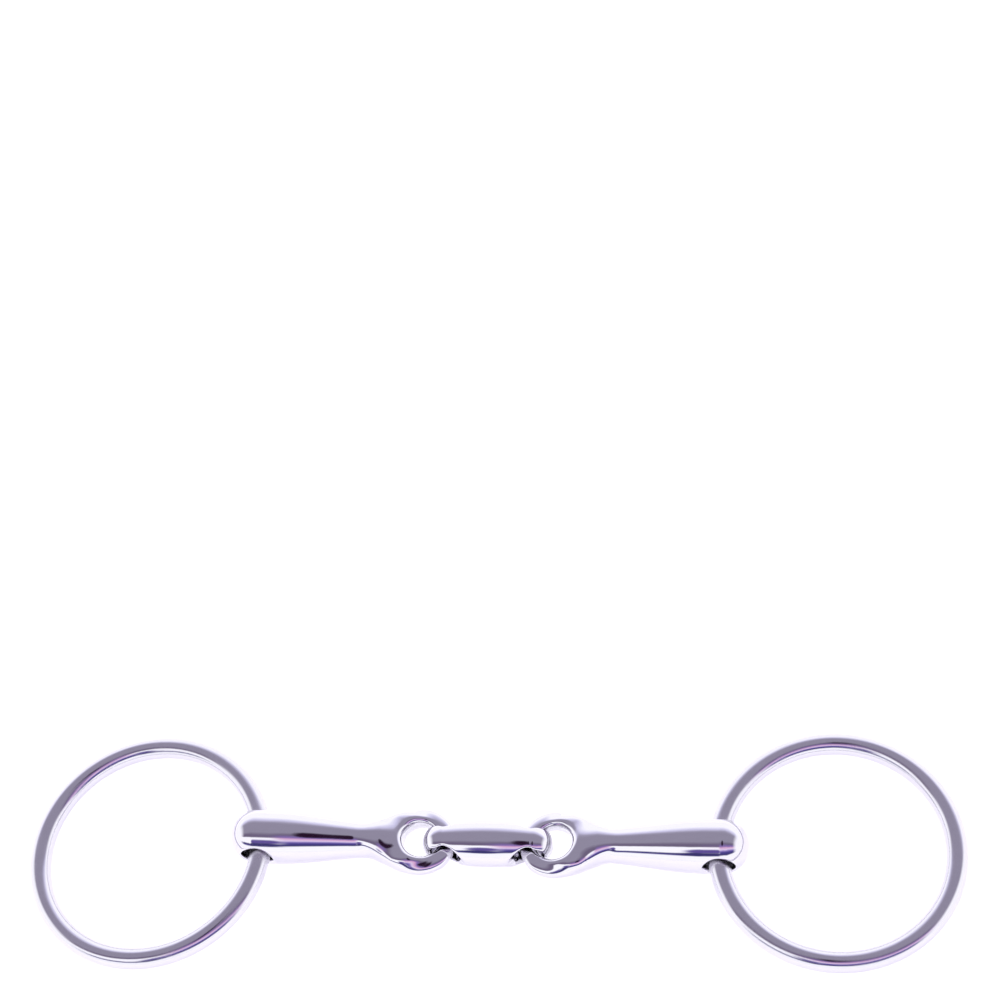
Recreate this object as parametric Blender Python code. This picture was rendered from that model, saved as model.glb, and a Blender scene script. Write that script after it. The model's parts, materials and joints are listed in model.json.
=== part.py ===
"""Loose-ring snaffle bit with a double-jointed mouthpiece, lying on a flat surface.

Five steel pieces: a lozenge-shaped centre link, two mouthpiece arms and two loose rings.
Each arm's inner eye is threaded through a hole in the link's end, like two links of a chain,
and each ring of round wire runs through a hole across the arm's outer end.
Metres, +Z up, +X along the mouthpiece, z = 0 on the surface that the bit lies on.
"""

import math

import bmesh
import bpy
from mathutils import Matrix

# Rings: round wire bent to a circle.
RING_RADIUS = 0.032           # centre line of the wire, so 58 mm clear inside and 70 mm across
WIRE_RADIUS = 0.003
RING_REACH = 0.0315           # from the hole's axis to the ring's centre
RING_STEPS = 64
WIRE_SIDES = 12

# Centre link: a crowned lozenge with a hole along Y near each end.
LINK_HALF_LENGTH = 0.0182
LINK_HALF_WIDTH = 0.0066
LINK_HALF_HEIGHT = 0.0062
LINK_CROWN = 0.0009           # it is this much slimmer all round where its ends start
LINK_END_X = 0.0122
LINK_HOLE_X = 0.0113
LINK_HOLE_RADIUS = 0.0042
LINK_HOLE_FLARE = 0.0014
LINK_HOLE_STRAIGHT = 0.001    # no flare this near the hole's middle
LINK_HOLE_REACH = 0.0072      # the flare ends this far out

# Arms, measured from the eye's centre outwards.
EYE_X = 0.0184                # the eye's centre, and the axis of the fold
EYE_HOLE_RADIUS = 0.00475
EYE_HOLE_FLARE = 0.0006
EYE_HOLE_REACH = 0.0029
EYE_HALF_WIDTH = 0.0096
EYE_HALF_LENGTH = 0.0097
EYE_HALF_HEIGHT = 0.0026
EYE_SHIFT = 0.0002            # the eye's outline is this far outside its hole's centre
EYE_POWER = 3.0               # a flat disc with round edges
EYE_FLAT_X = 0.003            # the disc thickens to the neck from here
NECK_X = 0.0125               # round from here on
NECK_RADIUS = 0.0047
TAPER_X = 0.01                # it widens to the barrel from here
NECK_FILLET = 0.002
BARREL_RADIUS = 0.0076
BARREL_X = 0.0416             # where the barrel is widest
TIP_REACH = 0.008             # from the ring hole's axis to the arm's tip
HOLE_REACH = 0.0455           # from the eye's centre to the ring hole's axis
RING_HOLE_RADIUS = 0.0042
RING_HOLE_FLARE = 0.0012
RING_HOLE_STRAIGHT = 0.0045
RING_HOLE_REACH = 0.008

# How it lies: the link, both barrels and both rings touch the surface.
MOUTHPIECE_Y = 0.0019         # the link lies this far behind the line of the rings' centres, in their play
MOUTHPIECE_TURN = math.radians(1.4)   # and the mouthpiece lies turned, its left end further back
EYE_PLAY = 0.0004             # room for an eye inside the link's slot
SLOT_POWER = 5.0              # the slot is squarer than the eye's hoop
SIDES = ((-1, "left"), (1, "right"))

# How finely the pieces are faceted.
LOFT_SIDES = 24
HOLE_SIDES = 20
LINK_STEPS = 20
ARM_STEPS = 30
FLARE_STEPS = 5
SLOPE_STEPS = 400
SLOT_STEPS = 48
SLOT_SIDES = 16

STEEL = {"color": (0.62, 0.61, 0.64, 1.0), "roughness": 0.12, "metallic": 1.0}

EYE_START = EYE_SHIFT - EYE_HALF_LENGTH
ARM_TIP = HOLE_REACH + TIP_REACH


def clear_scene():
    for obj in list(bpy.data.objects):
        bpy.data.objects.remove(obj, do_unlink=True)


def steel(name):
    material = bpy.data.materials.new(name + "_steel")
    material.use_nodes = True
    shader = material.node_tree.nodes["Principled BSDF"]
    shader.inputs["Base Color"].default_value = STEEL["color"]
    shader.inputs["Roughness"].default_value = STEEL["roughness"]
    shader.inputs["Metallic"].default_value = STEEL["metallic"]
    return material


def add_object(name, bm):
    """The bmesh as an object whose faces point out, shaded smooth."""
    bmesh.ops.recalc_face_normals(bm, faces=bm.faces)
    mesh = bpy.data.meshes.new(name)
    bm.to_mesh(mesh)
    bm.free()
    mesh.shade_smooth()
    obj = bpy.data.objects.new(name, mesh)
    bpy.context.scene.collection.objects.link(obj)
    return obj


def add_piece(name, bm):
    obj = add_object(name, bm)
    obj.data.materials.append(steel(name))
    return obj


def oval(angle, power):
    """A point of the unit oval |y|^power + |z|^power = 1."""
    c, s = math.cos(angle), math.sin(angle)
    return (
        math.copysign(abs(c) ** (2 / power), c),
        math.copysign(abs(s) ** (2 / power), s),
    )


def loft(start, sections, end, sides=LOFT_SIDES):
    """A skin along X over ovals (x, half width, half height, power), closed to a point at each end."""
    bm = bmesh.new()
    rings = []
    for x, width, height, power in sections:
        unit = [oval(2 * math.pi * i / sides, power) for i in range(sides)]
        rings.append([bm.verts.new((x, width * y, height * z)) for y, z in unit])
    for one, two in zip(rings, rings[1:]):
        for i in range(sides):
            j = (i + 1) % sides
            bm.faces.new((one[i], one[j], two[j], two[i]))
    for x, ring in ((start, rings[0]), (end, rings[-1])):
        tip = bm.verts.new((x, 0, 0))
        for i in range(sides):
            bm.faces.new((tip, ring[i], ring[(i + 1) % sides]))
    return bm


def blend(x, x0, x1, a, b):
    """From a at x0 to b at x1, level at both ends."""
    t = min(max((x - x0) / (x1 - x0), 0), 1)
    return a + (b - a) * t * t * (3 - 2 * t)


def round_end(x, middle, reach):
    """Falls from 1 at the middle to 0 at the end of a round tip."""
    return math.sqrt(max(1 - ((x - middle) / reach) ** 2, 0))


def smooth_max(a, b, width):
    return max(a, b) + max(width - abs(a - b), 0) ** 2 / (4 * width)


def arm_section(x):
    """The arm's oval at x from the eye's centre: the flat eye, the round neck and the tapered barrel."""
    neck = blend(x, TAPER_X, BARREL_X, NECK_RADIUS, BARREL_RADIUS)
    width = EYE_HALF_WIDTH * round_end(x, EYE_SHIFT, EYE_HALF_LENGTH)
    height = blend(x, EYE_FLAT_X, NECK_X, EYE_HALF_HEIGHT, neck)
    power = blend(x, EYE_FLAT_X, NECK_X, EYE_POWER, 2.0)
    if x > 0:
        width = smooth_max(width, neck, NECK_FILLET)
    if x < EYE_START + EYE_HALF_HEIGHT:
        height *= round_end(x, EYE_START + EYE_HALF_HEIGHT, EYE_HALF_HEIGHT)
    if x > ARM_TIP - BARREL_RADIUS:
        tip = round_end(x, ARM_TIP - BARREL_RADIUS, BARREL_RADIUS)
        width, height = width * tip, height * tip
    return x, width, height, power


def arm_slope():
    """How far an arm tips up from the link's middle height when its barrel lies on the surface."""
    slopes = []
    for i in range(SLOPE_STEPS):
        x, _, height, _ = arm_section(NECK_X + (ARM_TIP - NECK_X) * i / SLOPE_STEPS)
        slopes.append(math.atan2(height, x) - math.asin(LINK_HALF_HEIGHT / math.hypot(x, height)))
    return max(slopes)


def link_section(x):
    """The link's oval at x from its middle: slightly crowned, with ends like half an egg."""
    past = abs(x) - LINK_END_X
    shrink = LINK_CROWN * min(abs(x) / LINK_END_X, 1) ** 2
    end = round_end(past, 0, LINK_HALF_LENGTH - LINK_END_X) if past > 0 else 1
    return x, (LINK_HALF_WIDTH - shrink) * end, (LINK_HALF_HEIGHT - shrink) * end, 2.0


def stations(start, end, count):
    """Places between two round ends, close together near each end and leaving out the ends."""
    middle, half = (start + end) / 2, (end - start) / 2
    return [middle - half * math.cos(math.pi * i / count) for i in range(1, count)]


def mirrored(bm, side):
    if side < 0:
        bmesh.ops.scale(bm, vec=(-1, 1, 1), verts=bm.verts)
    return bm


def turn_about_z(bm, angle):
    bmesh.ops.rotate(bm, cent=(0, 0, 0), matrix=Matrix.Rotation(angle, 3, "Z"), verts=bm.verts)


def turned_cutter(name, radius, flare, reach, straight):
    """A hole's cutter along Y: straight near its middle, then widening to both mouths."""
    sections = []
    for i in range(2 * FLARE_STEPS + 1):
        x = reach * (i / FLARE_STEPS - 1)
        past = max(abs(x) - straight, 0) / (reach - straight)
        wide = radius + flare * past * past
        sections.append((x, wide, wide, 2.0))
    bm = loft(-reach, sections, reach, HOLE_SIDES)
    turn_about_z(bm, math.pi / 2)
    return cutter(name, bm)


def cutter(name, bm):
    obj = add_object(name, bm)
    obj.hide_render = True
    obj.display_type = "WIRE"
    return obj


def hoop(centre_x, radius, half_width, half_height, power, steps, sides):
    """An oval section carried round a circle about Z, with the circle's centre at (centre_x, 0, 0)."""
    bm = bmesh.new()
    loops = []
    for k in range(steps):
        turn = 2 * math.pi * k / steps
        loop = []
        for i in range(sides):
            y, z = oval(2 * math.pi * i / sides, power)
            out = radius + half_width * y
            point = (centre_x + out * math.cos(turn), out * math.sin(turn), half_height * z)
            loop.append(bm.verts.new(point))
        loops.append(loop)
    for k in range(steps):
        one, two = loops[k], loops[(k + 1) % steps]
        for i in range(sides):
            j = (i + 1) % sides
            bm.faces.new((one[i], one[j], two[j], two[i]))
    return bm


def cut(obj, tool, x):
    """Cuts the tool out of the object, with the tool moved x along the object."""
    tool.parent = obj
    tool.location.x = x
    modifier = obj.modifiers.new(tool.name, "BOOLEAN")
    modifier.operation = "DIFFERENCE"
    modifier.object = tool


def make_link():
    """The centre link, with a hole for each eye and a slot round it that clears the eye's hoop."""
    places = stations(-LINK_HALF_LENGTH, LINK_HALF_LENGTH, LINK_STEPS)
    bm = loft(-LINK_HALF_LENGTH, [link_section(x) for x in places], LINK_HALF_LENGTH)
    link = add_piece("centre_link", bm)
    mouthpiece_x = RING_REACH * (math.cos(ring_bearing(-1)) - math.cos(ring_bearing(1))) / 2
    link.location = (mouthpiece_x, MOUTHPIECE_Y, LINK_HALF_HEIGHT)
    link.rotation_euler.z = -MOUTHPIECE_TURN
    inner = EYE_HOLE_RADIUS - EYE_PLAY
    outer = EYE_HALF_WIDTH + EYE_PLAY
    for side, word in SIDES:
        hole = turned_cutter(
            word + "_link_hole", LINK_HOLE_RADIUS, LINK_HOLE_FLARE, LINK_HOLE_REACH, LINK_HOLE_STRAIGHT
        )
        cut(link, hole, side * LINK_HOLE_X)
        slot_height = EYE_HALF_HEIGHT + EYE_PLAY + outer * math.sin(arm_slope())
        middle, half = (inner + outer) / 2, (outer - inner) / 2
        slot_bm = hoop(0, middle, half, slot_height, SLOT_POWER, SLOT_STEPS, SLOT_SIDES)
        turn_about_z(slot_bm, math.pi / SLOT_STEPS)
        slot = cutter(word + "_link_slot", slot_bm)
        cut(link, slot, side * EYE_X)
    return link


def make_arm(side, word, link):
    """One arm, with its origin at the fold's axis through the eye's centre."""
    places = stations(EYE_START, ARM_TIP, ARM_STEPS)
    bm = loft(EYE_START, [arm_section(x) for x in places], ARM_TIP)
    arm = add_piece(word + "_mouthpiece_arm", mirrored(bm, side))
    arm.parent = link
    arm.location.x = side * EYE_X
    arm.rotation_euler.y = -side * arm_slope()
    eye_hole = turned_cutter(word + "_eye_hole", EYE_HOLE_RADIUS, EYE_HOLE_FLARE, EYE_HOLE_REACH, 0.0)
    eye_hole.rotation_euler.x = math.pi / 2
    cut(arm, eye_hole, 0)
    ring_hole = turned_cutter(
        word + "_ring_hole", RING_HOLE_RADIUS, RING_HOLE_FLARE, RING_HOLE_REACH, RING_HOLE_STRAIGHT
    )
    cut(arm, ring_hole, side * HOLE_REACH)
    return arm


def ring_bearing(side):
    """The angle off the X axis at which the ring's centre, on that axis, lies from the arm's hole."""
    hole_x = EYE_X + HOLE_REACH * math.cos(arm_slope())
    return math.asin((MOUTHPIECE_Y - side * hole_x * math.sin(MOUTHPIECE_TURN)) / RING_REACH)


def make_ring(side, word, arm):
    """One loose ring, with its origin at the swing's axis along the arm's hole."""
    yaw = ring_bearing(side) - side * MOUTHPIECE_TURN
    bm = hoop(RING_REACH, RING_RADIUS, WIRE_RADIUS, WIRE_RADIUS, 2.0, RING_STEPS, WIRE_SIDES)
    turn_about_z(bm, -yaw)
    ring = add_piece(word + "_ring", mirrored(bm, side))
    ring.parent = arm
    ring.location.x = side * HOLE_REACH
    hole_height = LINK_HALF_HEIGHT + HOLE_REACH * math.sin(arm_slope())
    tilt = math.asin((hole_height - WIRE_RADIUS) / (RING_REACH * math.cos(yaw) + RING_RADIUS))
    ring.rotation_euler.y = side * (tilt + arm_slope())
    return ring


def main():
    clear_scene()
    link = make_link()
    for side, word in SIDES:
        arm = make_arm(side, word, link)
        make_ring(side, word, arm)


main()
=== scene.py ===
"""Looks of the loose-ring snaffle bit: five pieces of polished steel on a white surface, in a light tent.

Every piece is skinned over its CAD node. The arms and the link start from the node's own solid, remeshed
finely, and each vertex is then moved onto a smooth surface worked out from the same sizes, in which the
castings' rims and fillets are rounded as polishing leaves them. The rings are made directly.
"""

import json
import math

import bpy
import numpy as np
from mathutils import Matrix, Vector


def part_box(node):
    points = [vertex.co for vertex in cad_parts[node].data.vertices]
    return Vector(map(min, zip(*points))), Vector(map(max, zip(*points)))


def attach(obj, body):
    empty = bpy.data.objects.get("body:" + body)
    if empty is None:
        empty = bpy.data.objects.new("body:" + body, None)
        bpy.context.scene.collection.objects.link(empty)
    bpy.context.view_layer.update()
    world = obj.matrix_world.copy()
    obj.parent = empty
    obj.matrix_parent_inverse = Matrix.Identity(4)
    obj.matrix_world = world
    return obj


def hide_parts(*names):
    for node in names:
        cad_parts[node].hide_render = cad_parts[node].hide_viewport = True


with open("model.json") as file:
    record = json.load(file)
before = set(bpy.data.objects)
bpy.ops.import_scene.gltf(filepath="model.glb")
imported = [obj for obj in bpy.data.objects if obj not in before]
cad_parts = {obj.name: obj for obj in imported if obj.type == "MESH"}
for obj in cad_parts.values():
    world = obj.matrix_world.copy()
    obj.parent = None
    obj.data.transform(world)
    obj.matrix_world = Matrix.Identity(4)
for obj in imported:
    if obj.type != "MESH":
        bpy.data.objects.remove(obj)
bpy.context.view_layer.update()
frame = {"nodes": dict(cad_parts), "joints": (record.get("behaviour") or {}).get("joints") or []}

# Sizes of the pieces, in metres: the CAD model's, apart from those marked as the skin's own.
RING_RADIUS = 0.032
WIRE_RADIUS = 0.003

LINK_HALF_LENGTH = 0.0182
LINK_HALF_WIDTH = 0.0066
LINK_HALF_HEIGHT = 0.0062
LINK_CROWN = 0.0009
LINK_END_X = 0.0122
LINK_HOLE_X = 0.0113
LINK_HOLE_RADIUS = 0.0042
LINK_HOLE_FLARE = 0.0014
LINK_HOLE_STRAIGHT = 0.001
LINK_HOLE_REACH = 0.0072

EYE_HOLE_RADIUS = 0.00475
EYE_HOLE_FLARE = 0.0006
EYE_HOLE_REACH = 0.0029
EYE_HALF_WIDTH = 0.0096
EYE_HALF_LENGTH = 0.0097
EYE_HALF_HEIGHT = 0.0026
EYE_SHIFT = 0.0002
EYE_POWER = 3.4               # the skin's own: the rim is a little squarer than in the CAD model

# The link's slot, which clears the eye's hoop.
EYE_PLAY = 0.0004
SLOT_INNER = EYE_HOLE_RADIUS - EYE_PLAY
SLOT_OUTER = EYE_HALF_WIDTH + EYE_PLAY
SLOT_HALF_HEIGHT = 0.00334

# The flat web that fans out from the neck to the eye, and the nose inside the eye: the skin's own.
WEB_X = 0.006
WEB_HALF_LENGTH = 0.0076
WEB_HALF_WIDTH = 0.0070
WEB_HALF_HEIGHT = 0.0030
WEB_POWER = 4
NECK_START_X = 0.003
NECK_START_RADIUS = 0.0019

# The neck and the barrel, with the ring's hole.
NECK_X = 0.0125
NECK_RADIUS = 0.0047
TAPER_X = 0.01
BARREL_X = 0.0416
BARREL_RADIUS = 0.0076
TIP_REACH = 0.008
RING_HOLE_RADIUS = 0.0042
RING_HOLE_FLARE = 0.0012
RING_HOLE_STRAIGHT = 0.0045
RING_HOLE_REACH = 0.008

# Polished roundings.
FILLET = 0.0040               # between the neck and the eye
WEB_FILLET = 0.0040           # between the web and the eye
EYE_RIM = 0.0015
RIM = 0.0009                  # round the arms' ring holes
LINK_RIM = 0.0007             # round the holes of the link
SLOT_EDGE = 0.0012            # inside the corners of the link's slots

# Meshes.
VOXEL = 0.00032
MERGE = 1e-6
DIFFERENCE = 1e-6             # step over which a skin's slope is measured
LEAST_STEEP = 0.2             # a skin's squared slope is taken as at least this
TINY = 1e-6                   # keeps divisors off zero
PROJECT_STEPS = 6
RELAX_ROUNDS = 4
RING_STEPS = 256
WIRE_SIDES = 40

# The light tent's colours, by degrees from overhead towards the front (+) or the back (-).
WHITE = (1.35, 1.34, 1.42)
LAVENDER = (0.85, 0.82, 1.1)
PALE_GREY = (0.45, 0.42, 0.55)
ROOF = (0.38, 0.35, 0.46)
SHADE = (0.21, 0.17, 0.27)
PURPLE = (0.30, 0.20, 0.55)
PINK = (0.95, 0.55, 0.85)
PALE_PINK = (1.0, 0.82, 1.1)
BLUE = (0.41, 0.31, 0.75)
DEEP_BLUE = (0.10, 0.08, 0.35)
SLATE_BLUE = (0.12, 0.10, 0.35)
DARK_PURPLE = (0.16, 0.11, 0.40)
NAVY = (0.06, 0.05, 0.20)
BLACK = (0.025, 0.008, 0.028)
BACK_BANDS = ((-90, WHITE), (-62, WHITE), (-49, LAVENDER), (-39, PALE_GREY), (-32, ROOF))
PLAIN_BANDS = BACK_BANDS + (
    (6, ROOF), (18, SHADE), (26, SHADE), (30, WHITE), (53, WHITE), (57, NAVY), (64, SLATE_BLUE),
    (69, WHITE), (90, WHITE),
)
COLORED_BANDS = BACK_BANDS + (
    (4, ROOF), (14, SHADE), (24, PURPLE), (31, PINK), (38, PALE_PINK), (43, BLUE), (50, DEEP_BLUE),
    (61, NAVY), (66, WHITE), (90, WHITE),
)
BAND_NOISE_SCALE = 3.0
WAVER = 6.0                   # degrees by which the bands wander

# Across the tent, from -1 at the left to 1 at the right.
COLORED_START = (-0.20, -0.02)   # the plain bands give way to the coloured ones here
WHITE_SIDES = (0.72, 0.93)       # both ends of the tent turn white this far from its middle
GAPS = (                         # oval gaps: across, degrees, half width, half height, colour
    (0.09, 12.0, 0.07, 12.0, BLACK),
    (-0.19, 46.0, 0.12, 9.0, DARK_PURPLE),
    (-0.22, 59.0, 0.13, 8.0, NAVY),
)
GAP_EDGE = (1.5, 0.3)            # the squares of how far out a gap starts and is full

# Steel.
STEEL_COLOR = (0.74, 0.73, 0.77)
RING_COLOR = (0.72, 0.71, 0.75)
DIM_SHARE = 0.93              # scratches dim the colour to this share of itself
STEEL_ROUGHNESS = 0.06
RING_ROUGHNESS = 0.15
CLOUD_SCALE = 90.0
CLOUD_RANGE = (0.3, 0.75)     # noise from here to here spreads the roughness
CLOUD_SHARES = (0.7, 1.6)     # over these shares of its middle value
SCRATCH_SCALE = 900.0
ALONG = (0.2, 1, 1)           # scratches drawn out along X
ALL_WAYS = (1, 1, 1)
SCRATCH_DEPTH = 0.05          # as a share of the dents' depth
DENT_SCALE = 140.0
BUMP_STRENGTH = 0.08
BUMP_DEPTH = 0.0002

# Wear round each joint: within the first distance it is full, past the second there is none.
WORN_ROUGHNESS = 0.10
EYE_WEAR = (0.0045, 0.0065)
LINK_WEAR = (0.0030, 0.0055)
HOLE_WEAR = (0.0050, 0.0080)
WIRE_WEAR = (0.0060, 0.0120)

# Studio.
FLOOR_HALF = 3.0
FLOOR_COLOR = (0.94, 0.94, 0.95)
FLOOR_GLOW = (0.97, 0.96, 1)
FLOOR_GLOW_STRENGTH = 0.66
FLOOR_ROUGHNESS = 0.9
LIGHT_PLACE = (-0.5, 0.9, 1.2)   # it shines on the origin
LIGHT_SIZE = 0.8
LIGHT_WATTS = 6.0

# Camera, fitted to the photograph's view.
CAMERA_ELEVATION = 57.67
CAMERA_AZIMUTH = 15.48
CAMERA_ROLL = -14.19
CAMERA_DISTANCE = 0.87025
CAMERA_TARGET = (-0.00437, 0.11596, 0.0)
CAMERA_LENS = 105.8
CAMERA_SENSOR = 36.0
CAMERA_CLIP = 0.05


def joint(name, what="pos_m"):
    """A joint's position or axis, in the frame at rest."""
    return Vector(next(j for j in frame["joints"] if j["name"] == name)[what])


# Signed distances. Each takes points in the piece's own frame and returns metres, negative inside.

def smooth_min(a, b, width):
    h = np.maximum(width - np.abs(a - b), 0) / width
    return np.minimum(a, b) - h * h * width / 4


def smooth_max(a, b, width):
    return -smooth_min(-a, -b, width)


def ramp(x, x0, x1, a, b):
    t = np.clip((x - x0) / (x1 - x0), 0, 1)
    return a + (b - a) * t * t * (3 - 2 * t)


def flared_hole(across, along, radius, flare, straight, reach):
    """A round hole: distance from its wall, given the distance from its axis and the place along it."""
    past = np.maximum(np.abs(along) - straight, 0) / (reach - straight)
    return across - (radius + flare * past * past)


def oval_disc(x, y, z, half_length, half_width, half_height, power):
    """A flat oval disc, slightly domed, with round edges."""
    u, v, w = x / half_length, y / half_width, np.abs(z) / half_height
    out = np.maximum(np.hypot(u, v), TINY)
    size = np.maximum((out ** power + w ** power) ** (1 / power), TINY)
    out_slope = np.hypot(u / half_length, v / half_width) / out
    slope = np.hypot((out / size) ** (power - 1) * out_slope, (w / size) ** (power - 1) / half_height)
    return (size - 1) / np.maximum(slope, TINY)


def tapered_bar(x, y, z, tip_x):
    """The neck and barrel: round about X, from a small nose inside the eye to a round tip."""
    full = ramp(x, TAPER_X, BARREL_X, NECK_RADIUS, BARREL_RADIUS)
    radius = ramp(x, NECK_START_X, NECK_X, NECK_START_RADIUS, full)
    middle = tip_x - BARREL_RADIUS
    beyond = np.where(x > middle, x - middle, np.minimum(x - NECK_START_X, 0))
    return np.sqrt(beyond ** 2 + y * y + z * z) - radius


def arm_skin(p, reach):
    """The whole arm, reach being the distance from the eye's centre to the ring hole's axis."""
    x, y, z = p.T
    eye = oval_disc(x - EYE_SHIFT, y, z, EYE_HALF_LENGTH, EYE_HALF_WIDTH, EYE_HALF_HEIGHT, EYE_POWER)
    web = oval_disc(x - WEB_X, y, z, WEB_HALF_LENGTH, WEB_HALF_WIDTH, WEB_HALF_HEIGHT, WEB_POWER)
    bar = tapered_bar(x, y, z, reach + TIP_REACH)
    body = smooth_min(smooth_min(eye, web, WEB_FILLET), bar, FILLET)
    eye_hole = flared_hole(np.hypot(x, y), z, EYE_HOLE_RADIUS, EYE_HOLE_FLARE, 0, EYE_HOLE_REACH)
    ring_hole = flared_hole(
        np.hypot(x - reach, z), y, RING_HOLE_RADIUS, RING_HOLE_FLARE, RING_HOLE_STRAIGHT, RING_HOLE_REACH
    )
    return smooth_max(smooth_max(body, -eye_hole, EYE_RIM), -ring_hole, RIM)


def link_slot(x, y, z):
    """A flat ring-shaped slot round the eye's centre, with rounded corners."""
    half = (SLOT_OUTER - SLOT_INNER) / 2
    out = np.abs(np.hypot(x, y) - (SLOT_INNER + SLOT_OUTER) / 2) - half + SLOT_EDGE
    up = np.abs(z) - SLOT_HALF_HEIGHT + SLOT_EDGE
    inside = np.minimum(np.maximum(out, up), 0)
    return np.hypot(np.maximum(out, 0), np.maximum(up, 0)) + inside - SLOT_EDGE


def link_skin(p, eye_x):
    """The centre link, eye_x being each eye's distance from its middle."""
    x, y, z = np.abs(p[:, 0]), p[:, 1], p[:, 2]
    shrink = LINK_CROWN * np.minimum(x / LINK_END_X, 1) ** 2
    width, height = LINK_HALF_WIDTH - shrink, LINK_HALF_HEIGHT - shrink
    u = np.maximum(x - LINK_END_X, 0)
    reach = LINK_HALF_LENGTH - LINK_END_X
    size = np.sqrt((u / reach) ** 2 + (y / width) ** 2 + (z / height) ** 2)
    slope = np.sqrt((u / reach ** 2) ** 2 + (y / width ** 2) ** 2 + (z / height ** 2) ** 2)
    body = size * (size - 1) / np.maximum(slope, TINY)
    across = np.hypot(x - LINK_HOLE_X, z)
    hole = flared_hole(across, y, LINK_HOLE_RADIUS, LINK_HOLE_FLARE, LINK_HOLE_STRAIGHT, LINK_HOLE_REACH)
    return smooth_max(body, -smooth_min(hole, link_slot(x - eye_x, y, z), LINK_RIM), LINK_RIM)


# Skins on meshes.

def slope_of(skin, p):
    """The skin's gradient at each point."""
    steps = np.eye(3) * DIFFERENCE
    return np.stack([(skin(p + s) - skin(p - s)) / (2 * DIFFERENCE) for s in steps], axis=1)


def project(skin, p):
    """Moves each point straight onto the skin's surface."""
    for _ in range(PROJECT_STEPS):
        value, slope = skin(p), slope_of(skin, p)
        steep = np.maximum((slope ** 2).sum(1), LEAST_STEEP)
        move = np.clip(value / steep, -VOXEL, VOXEL)
        p = p - move[:, None] * slope
    return p


def relax(p, edges):
    """Each point moves halfway to the middle of its neighbours."""
    total = np.zeros_like(p)
    np.add.at(total, edges[:, 0], p[edges[:, 1]])
    np.add.at(total, edges[:, 1], p[edges[:, 0]])
    count = np.bincount(edges.ravel(), minlength=len(p))[:, None]
    return (p + total / count) / 2


def remeshed(cad_node, name):
    """A fine voxel mesh of the node's solid, as a new object."""
    source = bpy.data.objects.new(name, frame["nodes"][cad_node].data.copy())
    bpy.context.scene.collection.objects.link(source)
    weld = source.modifiers.new("weld", "WELD")
    weld.merge_threshold = MERGE
    remesh = source.modifiers.new("remesh", "REMESH")
    remesh.mode = "VOXEL"
    remesh.voxel_size = VOXEL
    graph = bpy.context.evaluated_depsgraph_get()
    mesh = bpy.data.meshes.new_from_object(source.evaluated_get(graph))
    bpy.data.objects.remove(source)
    obj = bpy.data.objects.new(name, mesh)
    bpy.context.scene.collection.objects.link(obj)
    return obj


def skinned(cad_node, name, skin, to_own):
    """The node's solid remeshed and moved onto its skin. to_own takes the frame to the piece's own axes."""
    obj = remeshed(cad_node, name)
    mesh = obj.data
    points = np.zeros(len(mesh.vertices) * 3, np.float32)
    mesh.vertices.foreach_get("co", points)
    edges = np.zeros(len(mesh.edges) * 2, np.int32)
    mesh.edges.foreach_get("vertices", edges)
    edges = edges.reshape(-1, 2)
    turn, shift = np.array(to_own.to_3x3()), np.array(to_own.translation)
    p = project(skin, points.reshape(-1, 3).astype(float) @ turn.T + shift)
    for _ in range(RELAX_ROUNDS):
        p = project(skin, relax(p, edges))
    p = (p - shift) @ turn
    mesh.vertices.foreach_set("co", p.astype(np.float32).ravel())
    mesh.update()
    mesh.shade_smooth()
    return obj


def own_frame(origin, along):
    """Takes the frame to a piece's own axes: X along it, Y level and Z upwards."""
    x = along.normalized()
    y = Vector((-x.y, x.x, 0)).normalized()
    return Matrix((x, y, x.cross(y))).to_4x4() @ Matrix.Translation(-origin)


def add_link():
    left, right = joint("left_arm_fold"), joint("right_arm_fold")
    eye_x = (right - left).length / 2
    return skinned(
        "centre_link",
        "centre_link_skin",
        lambda p: link_skin(p, eye_x),
        own_frame((left + right) / 2, right - left),
    )


def add_arm(word):
    """An arm's own frame has its origin at the eye's centre and X out along the barrel."""
    eye, hole = joint(word + "_arm_fold"), joint(word + "_ring_swing")
    reach = (hole - eye).length
    return skinned(
        word + "_mouthpiece_arm",
        word + "_arm_skin",
        lambda p: arm_skin(p, reach),
        own_frame(eye, hole - eye),
    )


def hoop_points():
    """Points round a level hoop of wire, ring of points by ring of points."""
    turns = np.arange(RING_STEPS) * 2 * math.pi / RING_STEPS
    angles = np.arange(WIRE_SIDES) * 2 * math.pi / WIRE_SIDES
    turn, angle = np.meshgrid(turns, angles, indexing="ij")
    out = RING_RADIUS + WIRE_RADIUS * np.cos(angle)
    points = [out * np.cos(turn), out * np.sin(turn), WIRE_RADIUS * np.sin(angle)]
    return np.stack(points, axis=2).reshape(-1, 3)


def hoop_faces():
    """A four-sided face between each two neighbours along the hoop and round the wire."""
    faces = []
    for k in range(RING_STEPS):
        one, two = k * WIRE_SIDES, (k + 1) % RING_STEPS * WIRE_SIDES
        for i in range(WIRE_SIDES):
            j = (i + 1) % WIRE_SIDES
            faces.append((one + i, two + i, two + j, one + j))
    return faces


def add_ring(word):
    """The hoop of round wire, in the place and tilt of its CAD node."""
    low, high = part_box(word + "_ring")
    centre = (low + high) / 2
    upright = (joint(word + "_ring_swing") - centre).cross(joint(word + "_ring_swing", "axis"))
    if upright.z < 0:
        upright.negate()
    tilt = Vector((0, 0, 1)).rotation_difference(upright)
    lie = Matrix.Translation(centre) @ tilt.to_matrix().to_4x4()
    mesh = bpy.data.meshes.new(word + "_ring_skin")
    mesh.from_pydata([lie @ Vector(p) for p in hoop_points()], [], hoop_faces())
    mesh.update()
    mesh.shade_smooth()
    obj = bpy.data.objects.new(word + "_ring_skin", mesh)
    bpy.context.scene.collection.objects.link(obj)
    return obj


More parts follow.
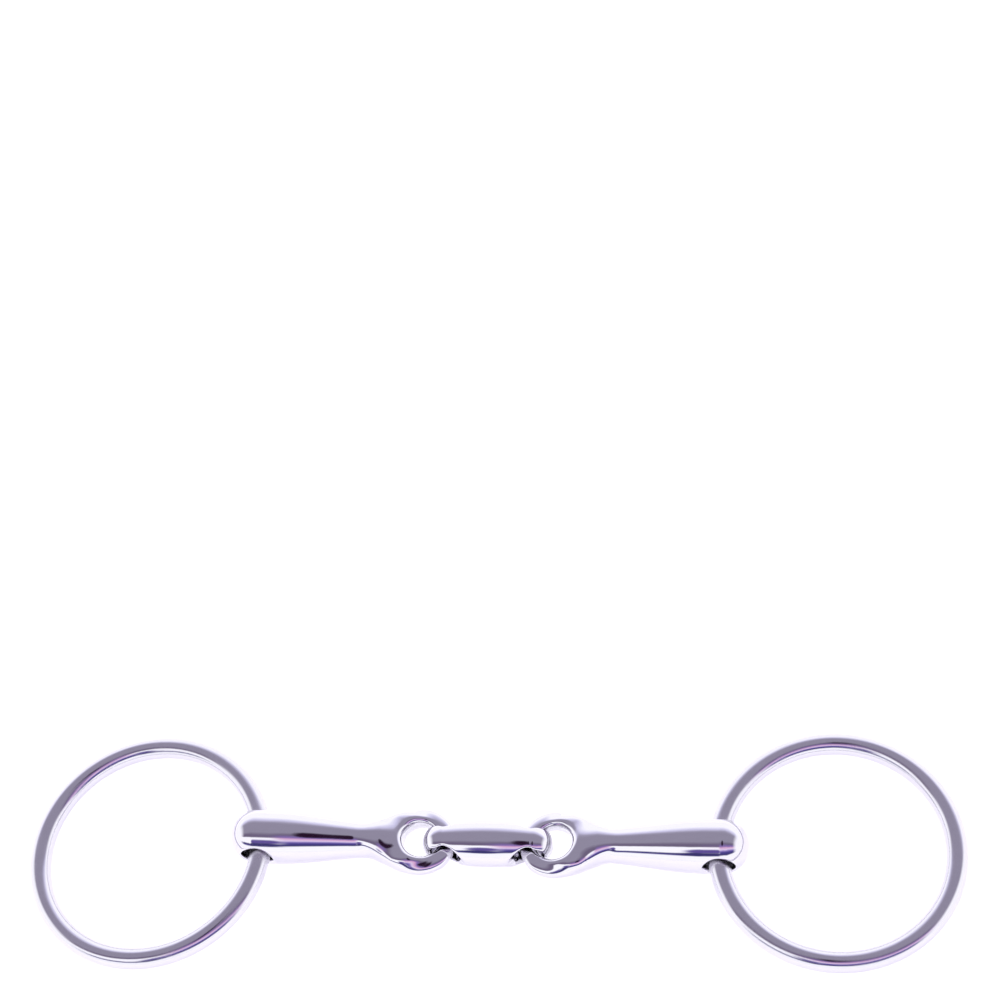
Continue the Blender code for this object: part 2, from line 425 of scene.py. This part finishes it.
# Shader nodes.

class Nodes:
    """Adds nodes to a material's or a world's tree. Their inputs are numbers, colours or other outputs."""

    spacing = 200

    def __init__(self, tree):
        self.tree = tree

    def put(self, value, socket):
        """Links an output to the socket, or sets the socket to a value."""
        if isinstance(value, bpy.types.NodeSocket):
            self.tree.links.new(value, socket)
        elif socket.type == "RGBA":
            socket.default_value = (*value, 1)
        else:
            socket.default_value = value

    def add(self, kind, **inputs):
        made = self.tree.nodes.new(kind)
        made.location.x = self.spacing * len(self.tree.nodes)
        for name, value in inputs.items():
            self.put(value, made.inputs[name.replace("_", " ")])
        return made

    def math(self, operation, *values):
        made = self.add("ShaderNodeMath")
        made.operation = operation
        for value, socket in zip(values, made.inputs):
            self.put(value, socket)
        return made.outputs["Value"]

    def noise(self, where, scale, detail, roughness):
        made = self.add("ShaderNodeTexNoise", Vector=where, Scale=scale, Detail=detail, Roughness=roughness)
        return made.outputs["Fac"]

    def step(self, value, start, end):
        """Rises smoothly from 0 at start to 1 at end."""
        made = self.add("ShaderNodeMapRange", Value=value, From_Min=start, From_Max=end)
        made.interpolation_type = "SMOOTHSTEP"
        return made.outputs["Result"]

    def mix(self, factor, a, b):
        made = self.add("ShaderNodeMix")
        made.data_type = "RGBA"
        for name, value in (("Factor", factor), ("A", a), ("B", b)):
            self.put(value, made.inputs[name])
        return made.outputs["Result"]


# Materials.

def wear(nodes, where, spots):
    """1 near the joints, where the pieces rub, falling to 0 further out. A spot is (joint, near, far)."""
    total = 0.0
    for name, near, far in spots:
        away = nodes.add("ShaderNodeVectorMath")
        away.operation = "DISTANCE"
        nodes.put(where, away.inputs[0])
        nodes.put(joint(name), away.inputs[1])
        total = nodes.math("MAXIMUM", total, nodes.step(away.outputs["Value"], far, near))
    return total


def cloudy(nodes, where, roughness):
    """The roughness of a hand polish, which varies in clouds."""
    cloud = nodes.noise(where, CLOUD_SCALE, 4.0, 0.6)
    low, high = CLOUD_RANGE
    least, most = (share * roughness for share in CLOUD_SHARES)
    made = nodes.add(
        "ShaderNodeMapRange", Value=cloud, From_Min=low, From_Max=high, To_Min=least, To_Max=most
    )
    return made.outputs["Result"]


def scratches(nodes, where, stretch):
    """Fine lines, drawn out along the axes whose stretch is below 1."""
    stretched = nodes.add("ShaderNodeMapping", Vector=where, Scale=stretch)
    return nodes.noise(stretched.outputs["Vector"], SCRATCH_SCALE, 3.0, 0.7)


def steel(name, color, roughness, stretch, spots):
    """Polished stainless steel with a faint cloudy polish, fine scratches and rubbed joints."""
    material = bpy.data.materials.new(name)
    material.use_nodes = True
    nodes = Nodes(material.node_tree)
    shader = material.node_tree.nodes["Principled BSDF"]
    shader.inputs["Metallic"].default_value = 1.0
    where = nodes.add("ShaderNodeTexCoord").outputs["Object"]

    clouds = cloudy(nodes, where, roughness)
    worn = nodes.math("MULTIPLY_ADD", wear(nodes, where, spots), WORN_ROUGHNESS, clouds)
    nodes.put(worn, shader.inputs["Roughness"])

    lines = scratches(nodes, where, stretch)
    dim = [c * DIM_SHARE for c in color]
    nodes.put(nodes.mix(lines, dim, color), shader.inputs["Base Color"])

    dents = nodes.noise(where, DENT_SCALE, 2.0, 0.5)
    height = nodes.math("MULTIPLY_ADD", lines, SCRATCH_DEPTH, dents)
    bump = nodes.add("ShaderNodeBump", Strength=BUMP_STRENGTH, Distance=BUMP_DEPTH, Height=height)
    nodes.put(bump.outputs["Normal"], shader.inputs["Normal"])
    return material


def dress(piece, material, cad_node, body):
    piece.data.materials.clear()
    piece.data.materials.append(material)
    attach(piece, body)
    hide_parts(cad_node)


# Studio.

def add_floor():
    """A white surface that glows a little, so that it stays white under the pieces."""
    mesh = bpy.data.meshes.new("floor")
    s = FLOOR_HALF
    mesh.from_pydata([(-s, -s, 0), (s, -s, 0), (s, s, 0), (-s, s, 0)], [], [(0, 1, 2, 3)])
    floor = bpy.data.objects.new("floor", mesh)
    bpy.context.scene.collection.objects.link(floor)
    material = bpy.data.materials.new("pale_floor")
    material.use_nodes = True
    shader = material.node_tree.nodes["Principled BSDF"]
    shader.inputs["Base Color"].default_value = (*FLOOR_COLOR, 1)
    shader.inputs["Roughness"].default_value = FLOOR_ROUGHNESS
    shader.inputs["Specular IOR Level"].default_value = 0.0
    shader.inputs["Emission Color"].default_value = (*FLOOR_GLOW, 1)
    shader.inputs["Emission Strength"].default_value = FLOOR_GLOW_STRENGTH
    mesh.materials.append(material)


def tent_place(nodes):
    """Where a direction is in the tent: across it, and its degrees from overhead towards the front."""
    where = nodes.add("ShaderNodeTexCoord").outputs["Generated"]
    direction = nodes.add("ShaderNodeSeparateXYZ", Vector=where).outputs
    ripple = nodes.noise(where, BAND_NOISE_SCALE, 2.0, 0.5)
    waver = nodes.math("MULTIPLY_ADD", ripple, WAVER, -WAVER / 2)
    front = nodes.math("MULTIPLY", direction["Y"], -1.0)
    angle = nodes.math("ARCTAN2", front, direction["Z"])
    return direction["X"], nodes.math("MULTIPLY_ADD", angle, 180 / math.pi, waver)


def bands(nodes, degrees, stops):
    """Colours that blend from stop to stop, from -90 to 90 degrees."""
    made = nodes.add("ShaderNodeValToRGB", Fac=nodes.math("MULTIPLY_ADD", degrees, 1 / 180, 0.5))
    elements = made.color_ramp.elements
    for _ in stops[len(elements):]:
        elements.new(0.5)
    for element, (degree, color) in zip(elements, stops):
        element.position = (degree + 90) / 180
        element.color = (*color, 1)
    return made.outputs["Color"]


def gap(nodes, across, degrees, middle_across, middle_degrees, half_width, half_height):
    """1 inside an oval gap of the tent, 0 outside it."""
    u = nodes.math("MULTIPLY_ADD", across, 1 / half_width, -middle_across / half_width)
    v = nodes.math("MULTIPLY_ADD", degrees, 1 / half_height, -middle_degrees / half_height)
    out = nodes.math("ADD", nodes.math("MULTIPLY", u, u), nodes.math("MULTIPLY", v, v))
    return nodes.step(out, *GAP_EDGE)


def add_world():
    """A light tent: white all round, with a grey roof and a few dark, tinted gaps towards the front."""
    world = bpy.data.worlds.new("light_tent")
    world.use_nodes = True
    bpy.context.scene.world = world
    nodes = Nodes(world.node_tree)
    across, degrees = tent_place(nodes)
    plain = bands(nodes, degrees, PLAIN_BANDS)
    colored = bands(nodes, degrees, COLORED_BANDS)
    sky = nodes.mix(nodes.step(across, *COLORED_START), plain, colored)
    off_middle = nodes.math("ABSOLUTE", across)
    sky = nodes.mix(nodes.step(off_middle, *WHITE_SIDES), sky, WHITE)
    for *oval, color in GAPS:
        sky = nodes.mix(gap(nodes, across, degrees, *oval), sky, color)
    nodes.put(sky, world.node_tree.nodes["Background"].inputs["Color"])


def add_light():
    data = bpy.data.lights.new("soft_key", "AREA")
    data.shape = "DISK"
    data.size = LIGHT_SIZE
    data.energy = LIGHT_WATTS
    light = bpy.data.objects.new("soft_key", data)
    light.visible_glossy = False
    light.location = LIGHT_PLACE
    light.rotation_euler = (-Vector(LIGHT_PLACE)).to_track_quat("-Z", "Y").to_euler()
    bpy.context.scene.collection.objects.link(light)


def add_camera():
    elevation, azimuth = math.radians(CAMERA_ELEVATION), math.radians(CAMERA_AZIMUTH)
    back = Vector((
        math.sin(azimuth) * math.cos(elevation),
        -math.cos(azimuth) * math.cos(elevation),
        math.sin(elevation),
    ))
    right = Vector((math.cos(azimuth), math.sin(azimuth), 0))
    axes = Matrix((right, back.cross(right), back)).transposed()
    roll = Matrix.Rotation(math.radians(CAMERA_ROLL), 3, "Z")
    data = bpy.data.cameras.new("camera")
    data.lens = CAMERA_LENS
    data.sensor_width = CAMERA_SENSOR
    data.clip_start = CAMERA_CLIP
    camera = bpy.data.objects.new("camera", data)
    place = Vector(CAMERA_TARGET) + back * CAMERA_DISTANCE
    camera.matrix_world = Matrix.Translation(place) @ (axes @ roll).to_4x4()
    bpy.context.scene.collection.objects.link(camera)
    bpy.context.scene.camera = camera


def add_pieces():
    folds = ("left_arm_fold", "right_arm_fold")
    swings = ("left_ring_swing", "right_ring_swing")
    link_spots = [(name, *LINK_WEAR) for name in folds]
    arm_spots = [(name, *EYE_WEAR) for name in folds] + [(name, *HOLE_WEAR) for name in swings]
    wire_spots = [(name, *WIRE_WEAR) for name in swings]
    link_steel = steel("link_steel", STEEL_COLOR, STEEL_ROUGHNESS, ALONG, link_spots)
    arm_steel = steel("arm_steel", STEEL_COLOR, STEEL_ROUGHNESS, ALONG, arm_spots)
    ring_steel = steel("ring_steel", RING_COLOR, RING_ROUGHNESS, ALL_WAYS, wire_spots)
    dress(add_link(), link_steel, "centre_link", "centre_link")
    for word in ("left", "right"):
        dress(add_arm(word), arm_steel, word + "_mouthpiece_arm", word + "_arm")
        dress(add_ring(word), ring_steel, word + "_ring", word + "_ring")


def main():
    bpy.context.scene.view_settings.view_transform = "Standard"
    add_camera()
    add_world()
    add_light()
    add_floor()
    add_pieces()


main()
